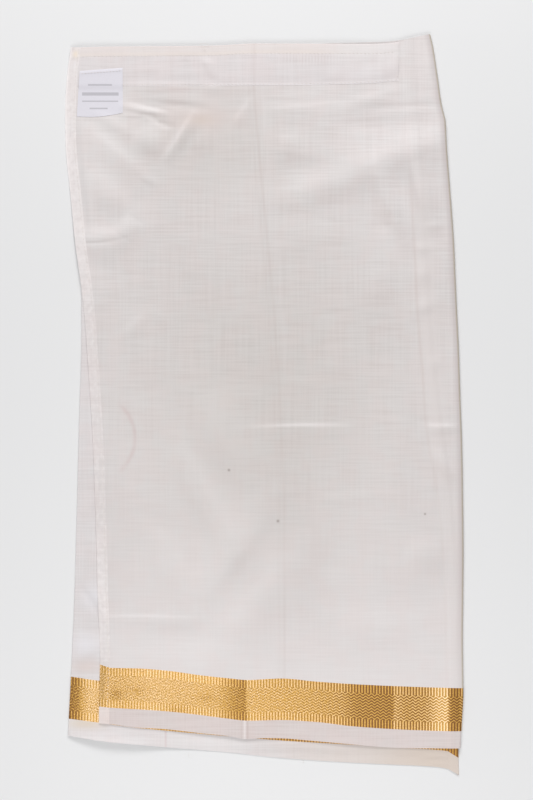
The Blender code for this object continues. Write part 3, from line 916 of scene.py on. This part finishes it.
GATHER = 2.5              # distance between the waistband's gathers
HEADER = 7.6              # from the waist's top edge to the header's stitch line
BAND_SEAM = 30.6          # from the waist's top edge to the waistband's lower seam
BAND_FOOT = 31.6          # and to its foot, just past that seam


def band_silk(name):
    """The waistband's silk: a creamier header over the casing, with gathers under its stitches,
    painted shade on the gathers, the pressed line and the top edge, and a painted highlight along the
    foot.
    """
    cloth = Silk(name, CASING)
    x = cloth.x
    _, offset = cloth.uv("fold")
    cloth.tint_folds()
    cream = offset.step(6.8, 8.4, 0.38, 0) + offset.bell(6.2, 1.5) * 0.35
    cloth.lay(cream * x.step(30, 95, 1, 0.15), HEADER_CREAM)
    # Painted shade along the pressed line and the top edge, and a painted highlight along the foot.
    cloth.lay(x.bell(-8, 1.2) * 0.12, PAINTED_SHADE)
    cloth.lay(offset.step(0.2, 1.6, 0.22, 0), PAINTED_SHADE)
    cloth.lay(offset.bell(BAND_FOOT - 0.8, 1) * x.step(-44, -30) * 0.42, PAINTED_LIGHT)
    cloth.spots(BAND_SPOTS)
    near = offset.bell(11.5, 4) * x.bell(35, 26)
    gathers = x.wave(GATHER)
    # Painted shade on one side of each gather.
    cloth.lay(near * gathers.step(-0.2, 1, 0, 0.14), PAINTED_SHADE)
    cloth.weave = cloth.weave + near * gathers * 1.5
    return cloth.done()


def hem_silk(name):
    """The front hem's silk: paler towards the waist, with painted light along its folded edge."""
    cloth = Silk(name, LAYERED)
    _, from_edge = cloth.uv("fold")
    cloth.spots(HEM_SPOTS)
    knots = (cloth.x * 0.28).noise(cloth.down * 0.22, 1, 15)
    cloth.lay(knots.step(0.50, 0.75, 0, 0.24), HEM_DULL)
    cloth.lay(knots.step(0.50, 0.25, 0, 0.24), HEM_PALE)
    cloth.weave = cloth.weave + knots * 0.8
    # Painted light along the folded edge.
    cloth.lay(from_edge.step(0.2, 1.6, 1, 0) * cloth.down.step(90, 170, 0.7, 0), HEM_PALE)
    return cloth.done()


def selvedge_silk(name):
    """The front's selvedge, with painted shade and a painted highlight along the pressed line across
    it.
    """
    cloth = Silk(name, SELVEDGE)
    x = cloth.x
    # Painted shade and a painted highlight along the pressed line.
    cloth.lay(x.bell(-18.3, 0.9) * 0.20 + x.bell(-13.4, 0.8) * 0.38, PAINTED_SHADE)
    cloth.lay(x.bell(-15.8, 0.9) * 0.35, HEM_PALE)
    return cloth.done()


GOLD_DARK = (0.200, 0.080, 0.012)
GOLD_MID = (0.600, 0.328, 0.056)
GOLD_BRIGHT = (0.985, 0.715, 0.440)
WAVE = 4.7                # length of one zigzag of the border
WAVE_RISE = 0.75          # height of its zigzag, up or down
WAVE_ROW = 2.3            # from one zigzag row to the next
FRINGE = 6.6              # length of the ticks along the border's two sides
BORDER = 33.6             # height of the border


def zari(name):
    """Woven gold thread: zigzag rows between two fringes of ticks, two ticks for each wave."""
    paint = Paint(name)
    along, at = paint.uv("border")
    # The tone map holds the border's painted reflection and shade.
    tone, plain = paint.uv("tone")
    foot = BORDER - FRINGE
    fringe = at.step(FRINGE - 0.3, FRINGE + 0.3, 1, 0) + at.step(foot - 0.3, foot + 0.3)
    rows = (at + along.wave(WAVE) * WAVE_RISE).wave(WAVE_ROW) * 0.5 + 0.5
    ticks = along.wave(WAVE / 2) * 0.5 + 0.5
    lines = rows * (1 - fringe) + ticks * fringe
    threads = (along * 1.5).noise(at * 1.1, 2, 9)
    loose = plain * (1 - fringe * 0.5)
    soft = lines * (1 - loose) + threads.step(0.30, 0.70) * loose
    light = tone + (soft - 0.5) * 0.85 + (threads - 0.5) * 0.9
    dark_part = paint.mix(light.step(-0.1, 0.5), GOLD_DARK, GOLD_MID)
    paint.colour = paint.mix(light.step(0.45, 1.1), dark_part, GOLD_BRIGHT)
    return paint.finish(Normal=paint.bump(lines, 0.22, 0.6), Roughness=0.42, Metallic=0.40)


BAR_GREY = (0.30, 0.29, 0.31)
LABEL_BARS = rows_of(
    "x down half rise tone",
    (-131.5, 40.6, 9.6, 0.7, 0.45),
    (-131.2, 47.8, 14.6, 1.3, 0.50),
    (-131.4, 53.6, 14.4, 0.5, 0.50),
    (-132.6, 59.4, 7.2, 0.6, 0.50),
)


def satin(name):
    """White label tape, with plain grey bars where its print was."""
    paint = Paint(name)
    x, up = paint.uv("cloth")
    down = up * -1
    fine = (x * 0.4).noise(down * 3, 2, 11)
    paint.colour = paint.mix(fine, (0.68, 0.66, 0.72), (0.75, 0.73, 0.78))
    for bar in LABEL_BARS:
        paint.lay(x.within(bar.x, bar.half) * down.within(bar.down, bar.rise) * bar.tone, BAR_GREY)
    return paint.finish(Normal=paint.bump(fine, 0.05, 0.5), Roughness=0.42, Sheen_Weight=0.1)


def thread(name):
    """Pale sewing thread."""
    paint = Paint(name)
    place = add_node(paint.tree, "TexCoord", {}, "Object")
    fibres = add_node(paint.tree, "TexNoise", {"Vector": place, "Scale": 900})
    paint.colour = paint.mix(fibres, (0.62, 0.56, 0.52), (0.86, 0.81, 0.77))
    return paint.finish(Roughness=0.6, Sheen_Weight=0.3)


# --- The stretches ---

def band_slices(rows):
    """The rows of a grid that make its plain cloth, its border and its selvedge."""
    counts = [len(places) - 1 for _, _, places in rows]
    marks = [0, sum(counts[:-2]), sum(counts[:-1]), sum(counts)]
    return [slice(first, last + 1) for first, last in zip(marks, marks[1:])]


# How light the zari looks along the border, painted in as its reflection and shade, and how far its
# zigzag is lost in the thread.
TONE = "x light plain"
FRONT_TONES = rows_of(
    TONE,
    (-134, 0.55, 0.9),
    (-131, 0.62, 0.9),
    (-112, 0.62, 0.8),
    (-90, 0.68, 0.8),
    (-60, 0.65, 0.7),
    (-38, 0.62, 0.6),
    (-25, 0.37, 0.5),
    (-14.6, 0.24, 0.3),
    (-13.8, 0.62, 0.6),
    (10, 0.58, 0.5),
    (40, 0.52, 0.35),
    (62, 0.44, 0.1),
    (74, 0.22, 0),
    (102.5, 0.12, 0),
    (103.5, 0.5, 0),
    (114, 0.36, 0),
    (128, 0.4, 0),
    (133, 0.5, 0),
    (139, 0.7, 0.1),
    (146, 0.74, 0),
    (149, 0.1, 0),
    (155, 0.05, 0),
    (158, 0.4, 0),
)
INNER_TONES = rows_of(
    TONE,
    (-158, 0.1, 0.6),
    (-150, 0.22, 0.6),
    (-146, 0.55, 0.6),
    (-140, 0.75, 0.8),
    (-130, 0.65, 0.8),
    (0, 0.3, 0.2),
    (143, 0.35, 0.2),
    (148, 0.05, 0),
    (155, 0.1, 0),
)
# Dark places in the front's zari.
FRONT_PATCHES = rows_of(
    "x down across along depth",
    (-118.5, 528, 6, 4.5, 0.22),
    (-101, 525, 6, 3, 0.14),
    (-70, 541, 9, 3.5, 0.14),
    (-46, 531, 8, 3, 0.12),
    (-125, 560.5, 2, 1.6, 0.2),
)


def zari_tone(x, down, rows, patches):
    """The border's painted reflection and shade, and its plainness, over the points."""
    places = [row.x for row in rows]
    light = np.interp(x, places, [row.light for row in rows]) - 0.06
    for patch in patches:
        mark = hump(x, patch.x, patch.across) * hump(down, patch.down, patch.along)
        light = light - patch.depth * mark
    return light, np.interp(x, places, [row.plain for row in rows])


def stretch_maps(stretch, x, down, tones, patches=()):
    """The maps of a stretch: its cloth's own place, the place on its border and its tone there."""
    across = np.clip(stretch.across(x, down), 0.0, 1.0)
    top = stretch.lines["gold_top"](across)
    at = (down - top) / (stretch.lines["gold_foot"](across) - top) * BORDER
    return {
        "cloth": (x, -down),
        "border": (x, at),
        "tone": zari_tone(x, down, tones, patches),
    }


def press_line(down):
    """Where the pressed line down the middle of the front lies."""
    places = [40.0, 62.6, 104.6, 156.6, 212.6, 268.6, 380.0]
    return np.interp(down, places, [-8.5, -6.9, -3.4, 1.7, 7.0, 11.0, 16.0])


HEM_WIDTH = 8.99          # from the front's left edge to its hem's inner edge, nearly


def front_grid():
    """The front's grid and its bands."""
    across = stops((0.001, HEM_ACROSS, 8), (HEM_ACROSS, 0.36, 74), (0.36, 0.61, 36), (0.61, 1, 60))
    upper = ((0, 0.28, 120), (0.28, 0.555, 44), (0.555, 0.595, 14))
    lower = ((0.595, 0.89, 46), (0.89, 0.925, 14), (0.925, 1, 9))
    rows = rows_down(12, stops(*upper, *lower), 20, 9)
    x, down = FRONT.points(across, rows)
    z = front_height(x, down)
    fold = tilt(x, down, front_folds(x, down))
    fold = np.pad(fold, ((0, FOLD_STEPS), (0, 0)), mode="edge")
    x, down, z = rounded(x, down, z, 1, RIGHT_REACH, (FRONT_Z + BACK_Z) / 2)
    maps = stretch_maps(FRONT, x, down, FRONT_TONES, FRONT_PATCHES)
    maps["fold"] = (fold, SIDES["right_fold"](down) - x)
    maps["lines"] = (x - hem_ghost(down), x - press_line(down))
    maps["hem"] = (x - SIDES["front_left"](down) - HEM_WIDTH, z)
    return Grid(x, down, z, maps), band_slices(rows)


def inner_grid():
    """The inner stretch's grid, up to its end hem, and its bands."""
    across = stops((0, 0.10, 14), (0.10, INNER_HEM_ACROSS, 66))
    rows = rows_down(stops((0, 0.60, 60), (0.60, 1, 70)), 14, 10)
    x, down = INNER.points(across, rows)
    z = inner_height(x, down)
    fold = tilt(x, down, crease_sum(INNER_CREASES[:-2], x, down))
    fold = np.pad(fold, ((FOLD_STEPS, 0), (0, 0)), mode="edge")
    x, down, z = rounded(x, down, z, -1, LEFT_REACH, (INNER_Z + BACK_Z) / 2)
    maps = stretch_maps(INNER, x, down, INNER_TONES)
    maps["fold"] = (fold, x - SIDES["left_fold"](down))
    return Grid(x, down, z, maps), band_slices(rows)


def back_grid():
    """The back's grid and its bands."""
    rows = rows_down(130, 10, 5)
    x, down = BACK.points(stops((0, 1, 80)), rows)
    z = back_height(x, down)
    x, down, z = rounded(x, down, z, 1, RIGHT_REACH, (FRONT_Z + BACK_Z) / 2)
    x, down, z = rounded(x, down, z, -1, LEFT_REACH, (INNER_Z + BACK_Z) / 2)
    return Grid(x, down, z, stretch_maps(BACK, x, down, INNER_TONES)), band_slices(rows)


# A turned strip's profile: points at an offset in from its folded edge and a rise over the cloth.
# A negative offset counts back from the strip's inner edge.
HEM_PROFILE = [
    (1.6, -0.24), (0.9, -0.24), (0.30, -0.22), (0.05, -0.12), (0.0, 0.04), (0.05, 0.18),
    (0.20, 0.29), (0.70, 0.35), (1.8, 0.39), (4.0, 0.42), (-3.0, 0.41), (-2.1, 0.36),
    (-1.6, 0.29), (-1.1, 0.31), (-0.5, 0.30), (0.0, 0.23),
]
STITCHED = -4             # which point of the profile is under its stitches


def hem_grid(stretch, cloth_height, from_across, to_across, rows, tones):
    """A turned hem along a stretch's end: its grid runs from under the fold's edge to the strip."""
    inward = 1 if to_across > from_across else -1
    inner_x, inner_down = stretch.points(np.array([to_across]), rows)
    outer_x, outer_down = stretch.points(np.array([from_across]), rows)
    columns = []
    for order, (offset, rise) in enumerate(HEM_PROFILE):
        from_inner = offset < 0 or order == len(HEM_PROFILE) - 1
        x = (inner_x if from_inner else outer_x)[0] + inward * offset
        share = np.clip((x - outer_x[0]) / (inner_x[0] - outer_x[0]), 0.0, 1.0)
        down = outer_down[0] + share * (inner_down[0] - outer_down[0])
        columns.append((x, down, cloth_height(x, down) + rise))
    x, down, z = np.array(columns[::inward]).transpose(1, 0, 2)
    maps = stretch_maps(stretch, x, down, tones)
    maps["fold"] = (np.zeros_like(x), np.abs(x - outer_x[0]))
    return Grid(x, down, z, maps)


BAND_RISE = 0.42          # middle of the waistband over the middle of the front
BAND_END = 107.4          # where its end seam runs down
BAND_TURN = [
    (1.6, -0.24), (0.8, -0.24), (0.25, -0.20), (0.04, -0.08), (0.0, 0.08), (0.06, 0.22),
    (0.22, 0.34), (0.60, 0.41),
]


def band_rise(offset, x, down):
    """How far the waistband's middle stands over the front, by the distance from its top edge."""
    header = 0.08 * hump(offset, HEADER, 0.9)
    puff = 0.06 * hump(offset, 4.2, 2.4)
    pucker = 0.10 * np.sin(x / 1.9) * np.sin(x / 7.3 + 1.0) * hump(offset, HEADER, 4.0)
    inside = ease((offset - HEADER) / 7.0) * ease((BAND_FOOT - offset) / 8.0)
    facets = crease_sum(BAND_CREASES, x, down) * inside
    return BAND_RISE + puff + pucker + facets - header


def foot_seam(x, down):
    """How far the waistband is drawn down to its foot, whose edge stands up again at the right."""
    band_foot = FRONT.lines["band_foot"](FRONT.across(x, down))
    from_foot = band_foot + BAND_FOOT - BAND_SEAM - down
    lip = 0.04 * (1 - ease(from_foot / 2.4)) * ease((x + 44.0) / 14.0)
    return 0.31 * (1 - ease(from_foot / 14.0)) - lip


def waistband_grid():
    """The casing: its cloth turns over the top edge and is stitched down along its foot."""
    across = stops((HEM_ACROSS, BAND_ACROSS, 230))
    turn_offsets, turn_rises = np.array(BAND_TURN).T
    turned = len(BAND_TURN)
    offsets = np.concatenate((turn_offsets, stops((1.9, 27.5, 30), (27.5, BAND_FOOT, 9))))
    top = FRONT.lines["top"](across)[:, None]
    scale = (FRONT.lines["band_foot"](across)[:, None] - top) / BAND_SEAM
    down = top + offsets * scale
    start = FRONT.place(HEM_ACROSS, down)
    part = (across - HEM_ACROSS) / (BAND_ACROSS - HEM_ACROSS)
    x = start + part[:, None] * (BAND_END - start)
    z = front_height(x, down)
    z[:, :turned] += turn_rises
    flat_x = x[:, turned:]
    flat_down = down[:, turned:]
    z[:, turned:] += band_rise(flat_down - top, flat_x, flat_down) - foot_seam(flat_x, flat_down)
    maps = {"cloth": (x, -down), "fold": (tilt(x, down, z), (down - top) / scale)}
    return Grid(x, down, z, maps)


LABEL_LEFT = -147.8
LABEL_RIGHT = -113.4
LABEL_TOP = 29.6
LABEL_FOOT = 65.0
LABEL_RISE = 0.24         # middle of the label over the middle of the cloth under it


def label_height(x, down):
    """The label lies on the waistband above and on the cloth below, and lifts at its foot."""
    off_band = down - FRONT.lines["band_foot"](FRONT.across(x, down))
    on_band = (BAND_RISE + 0.1) * (1 - ease((off_band + 0.5) / 5.0))
    lift = 0.06 * ease((down - LABEL_FOOT + 14.0) / 16.0)
    return front_height(x, down) + on_band + LABEL_RISE + lift


def label_grid():
    """The label: a slip of satin tape, a little crooked, its top edge turned under."""
    part_x = np.linspace(0, 1, 26)[:, None]
    part_down = np.concatenate(([-0.02], np.linspace(0, 1, 30)))
    left = LABEL_LEFT - 2.2 * part_down
    right = LABEL_RIGHT + 0.2 * part_down
    x = left + part_x * (right - left)
    top = LABEL_TOP + 0.6 - 2.6 * part_x
    foot = LABEL_FOOT + 0.8 - 3.0 * part_x + 1.6 * np.sin(part_x * math.pi)
    down = top + part_down * (foot - top)
    z = label_height(x, down) + 0.09 * hump(part_down, 0.04, 0.035)
    z[:, 0] -= 0.15
    return Grid(x, down, z, {"cloth": (x, -down)})


# --- Stitches and threads ---

TUBE_SIDES = 6
# A stitch dives into the cloth at both ends: place along it, thickness and height of each ring.
STITCH_RINGS = [
    (-0.5, 0.25, -0.30), (-0.3, 0.8, 0.05), (0.0, 1.0, 0.16), (0.3, 0.8, 0.05), (0.5, 0.25, -0.30),
]


def upright(run):
    """Unit vectors along a run, to its side and up from it."""
    run = run / np.linalg.norm(run)
    side = np.cross((0.0, 0.0, 1.0), run)
    side = side / max(np.linalg.norm(side), 1e-6)
    return run, side, np.cross(run, side)


def ring(centre, side, up, radius):
    """The points of one ring of a tube."""
    turns = [2 * math.pi * step / TUBE_SIDES for step in range(TUBE_SIDES)]
    return [centre + radius * (side * math.cos(turn) + up * math.sin(turn)) for turn in turns]


def add_tubes(name, tubes, material):
    """One mesh of closed tubes, each a list of rings of points in millimetres."""
    points = []
    faces = []
    for rings in tubes:
        first = len(points)
        last = first + (len(rings) - 1) * TUBE_SIDES
        for start in range(first, last, TUBE_SIDES):
            for step in range(TUBE_SIDES):
                a = start + step
                b = start + (step + 1) % TUBE_SIDES
                faces.append((a, b, b + TUBE_SIDES, a + TUBE_SIDES))
        faces.append(range(first + TUBE_SIDES - 1, first - 1, -1))
        faces.append(range(last, last + TUBE_SIDES))
        points.extend(point * MM for circle in rings for point in circle)
    return add_mesh(name, points, faces, material)


def add_stitches(name, lines, material, spacing=3.1, length=2.1, radius=0.17):
    """One mesh of all the stitches along some lines, each its arrays of x, down and z."""
    tubes = []
    for line in (in_frame(*line) for line in lines):
        run = np.concatenate(([0], np.cumsum(np.linalg.norm(np.diff(line, axis=0), axis=1))))
        count = int(run[-1] / spacing)
        for step in range(count):
            at = (step + 0.5) * run[-1] / count
            places = (at - length / 2, at, at + length / 2)
            before, middle, after = np.stack([np.interp(places, run, axis) for axis in line.T]).T
            along, side, up = upright(after - before)
            tubes.append([
                ring(middle + along * part * length + up * lift, side, up, radius * swell)
                for part, swell, lift in STITCH_RINGS
            ])
    return add_tubes(name, tubes, material)


def along_band(edge, distance):
    """Points along the waistband, at a distance below one of its lines."""
    across = np.linspace(HEM_ACROSS + 0.004, BAND_ACROSS - 0.004, 160)
    down = FRONT.lines[edge](across) + distance
    x = FRONT.place(across, down)
    rise = band_rise(down - FRONT.lines["top"](across), x, down)
    z = front_height(x, down) + rise - foot_seam(x, down)
    return x, down, z + CLOTH / 2


def hem_stitch_line():
    """Points along the front hem's stitch line."""
    rows = rows_down(20, 240, 20, stops((0, 0.9, 8)))
    x, down = FRONT.points(np.array([HEM_ACROSS]), rows)
    offset, rise = HEM_PROFILE[STITCHED]
    x = x[0] + offset
    return x, down[0], front_height(x, down[0]) + rise + CLOTH / 2 + 0.02


def end_seam_line():
    """Points down the waistband's end seam."""
    down = np.linspace(16.0, 35.0, 24)
    x = np.full_like(down, BAND_END - 1.2)
    return x, down, front_height(x, down) + BAND_RISE + CLOTH / 2


def label_stitch_line():
    """Points along the label's stitched top edge."""
    x = np.linspace(LABEL_LEFT + 1.0, LABEL_RIGHT - 1.0, 30)
    part = (x - LABEL_LEFT) / (LABEL_RIGHT - LABEL_LEFT)
    down = LABEL_TOP + 2.2 - 2.6 * part
    return x, down, label_height(x, down) + 0.28


# Loose ends of thread, through points of x, down and height over the surface.
STRANDS = rows_of(
    "points radius",
    ([(-52, 8.6, 4.6), (-49, 7.6, 4.9), (-46, 8.2, 4.6), (-44, 9.8, 4.4)], 0.10),
    ([(-50, 9.0, 4.4), (-48.5, 11.5, 4.6), (-46.5, 13.0, 4.4)], 0.09),
    ([(153, 584, 1.2), (154.5, 587, 0.9), (154.8, 591, 0.6), (154.2, 594, 0.3)], 0.10),
    ([(-60, 575, 1.2), (-61, 577.5, 0.7), (-60.2, 579.0, 0.3)], 0.08),
    ([(30, 580, 1.0), (31.5, 582.5, 0.6), (31, 584, 0.3)], 0.08),
)


def add_strands(name, material):
    """One mesh of the loose threads."""
    tubes = []
    for strand in STRANDS:
        line = in_frame(*np.array(strand.points, float).T)
        places = np.linspace(0, 1, len(line))
        fine = np.stack([Curve(places, axis)(np.linspace(0, 1, 14)) for axis in line.T], axis=-1)
        tube = []
        for middle, run in zip(fine, np.gradient(fine, axis=0)):
            _, side, up = upright(run)
            tube.append(ring(middle, side, up, strand.radius))
        tubes.append(tube)
    return add_tubes(name, tubes, material)


# --- Putting the garment together ---

def place(piece, slot, *nodes):
    """A piece rides on the part and stands for its solids, which are hidden."""
    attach(piece, "root")
    if nodes:
        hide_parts(*nodes)
    return piece


def flat_size(grid, rows=slice(None)):
    """A band's width and length when it is laid out, in metres."""
    points = in_frame(grid.x, grid.down, grid.z)[:, rows] * MM
    middle_row = points[:, points.shape[1] // 2]
    middle_column = points[points.shape[0] // 2]
    return tuple(
        float(np.linalg.norm(np.diff(line, axis=0), axis=1).sum())
        for line in (middle_row, middle_column)
    )


BAND_KINDS = rows_of(
    "suffix slot part",
    ("silk", "silk", "panel"),
    ("zari", "zari", "border"),
    ("selvedge_silk", "silk", "selvedge"),
)


def add_bands(name, grid, bands, node, materials):
    """The three shells of one stretch or hem: plain cloth, border and selvedge."""
    made = []
    for kind, rows, material in zip(BAND_KINDS, bands, materials):
        piece = add_shell(f"{name}_{kind.suffix}", grid, material, rows)
        made.append(place(piece, kind.slot, f"{node}_{kind.part}"))
    return made


def lay_sheets(pieces, grid, bands):
    """Work out the laid-out size of each of a stretch's bands; the sizes are not kept."""
    for order, (piece, rows) in enumerate(zip(pieces, bands)):
        flat_size(grid, rows)


def build_garment():
    """Every piece, from the back up to the label and the threads."""
    plain = Silk("cream_silk").done()
    layered = Silk("doubled_silk", HEM_FOOT).done()
    selvedge = selvedge_silk("selvedge_silk")
    warm = warm_silk("warm_silk")
    gold = zari("gold_zari")
    sewing = thread("sewing_thread")

    grid, bands = back_grid()
    lay_sheets(add_bands("back", grid, bands, "back", (plain, gold, plain)), grid, bands)

    rows = rows_down(90, 12, 6)
    hem = hem_grid(INNER, inner_height, 1.0, INNER_HEM_ACROSS, rows, INNER_TONES)
    hems = add_bands(
        "inner_end_turned", hem, band_slices(rows), "inner_end_hem", (warm, gold, warm)
    )
    grid, bands = inner_grid()
    inner = add_bands("inner", grid, bands, "inner", (warm, gold, warm))
    lay_sheets(inner, grid, bands)

    rows = rows_down(10, 210, 16, 7)
    hem = hem_grid(FRONT, front_height, 0.0, HEM_ACROSS, rows, FRONT_TONES)
    turned = hem_silk("hem_silk")
    hems = add_bands("front_turned", hem, band_slices(rows), "front_hem", (turned, gold, layered))
    grid, bands = front_grid()
    front = add_bands("front", grid, bands, "front", (front_silk("front_cloth"), gold, selvedge))
    lay_sheets(front, grid, bands)

    grid = waistband_grid()
    casing = band_silk("waistband_cloth")
    band = place(add_shell("waistband_silk", grid, casing), "silk", "waistband")
    flat_size(grid)

    grid = label_grid()
    tape = add_shell("label_satin", grid, satin("label_tape"), thickness=0.12)
    label = place(tape, "label", "care_label")
    flat_size(grid)

    waist_lines = [along_band("top", HEADER), along_band("band_foot", -0.1), end_seam_line()]
    place(add_stitches("waist_stitches", waist_lines, sewing), "silk")
    place(add_stitches("hem_stitches", [hem_stitch_line()], sewing), "silk")
    place(add_stitches("label_stitches", [label_stitch_line()], sewing, 2.4, 1.6), "label")
    place(add_strands("loose_threads", sewing), "silk")


# --- Floor, light and camera ---

def add_floor():
    """A wide pale floor."""
    size = 4.0
    corners = [(-size, -size, 0), (size, -size, 0), (size, size, 0), (-size, size, 0)]
    paint = Paint("pale_floor")
    paint.colour = (0.79, 0.79, 0.795)
    add_mesh("floor", corners, [(0, 1, 2, 3)], paint.finish(Roughness=0.9))


def add_light(name, location, size, energy, aim=(0, 0, 0)):
    """A soft rectangular light, turned to a point."""
    data = bpy.data.lights.new(name, "AREA")
    data.shape = "RECTANGLE"
    data.size, data.size_y = size
    data.energy = energy
    light = add_object(name, data)
    light.location = location
    x, y, z = np.array(aim, float) - location
    light.rotation_euler = (math.atan2(math.hypot(x, y), -z), 0, math.pi + math.atan2(x, -y))
    return light


def add_lights():
    """Soft light from all round, with more of it from beyond the waist."""
    world = bpy.data.worlds.new("studio")
    world.use_nodes = True
    background = world.node_tree.nodes["Background"]
    background.inputs[0].default_value = (1.0, 1.0, 1.0, 1.0)
    background.inputs[1].default_value = 0.36
    bpy.context.scene.world = world
    add_light("key", (0.0, 1.7, 1.0), (1.6, 0.6), 17.4)
    add_light("waist_fill", (0.0, 0.8, 0.7), (0.8, 0.4), 3.05)
    add_light("foot_fill", (0.0, -0.45, 0.6), (0.8, 0.4), 2.26)
    low = add_light("left_low", (-1.2, 0.0, 0.06), (1.4, 0.06), 0.09)
    low.data.spread = math.radians(12)       # a beam that passes over the floor beside it
    add_light("foot_strip", (0.0, -0.40, 0.35), (1.6, 0.15), 0.23, (0.0, -0.40, 0.0))


def add_camera():
    """Straight down, so that the picture's height is 640 mm at the cloth."""
    data = bpy.data.cameras.new("camera")
    data.lens = 85
    data.sensor_width = 36
    camera = add_object("camera", data)
    camera.location = (0.0017, 0.0040, 1.514)
    bpy.context.scene.camera = camera
    bpy.context.scene.view_settings.view_transform = "Standard"


build_garment()
add_floor()
add_lights()
add_camera()
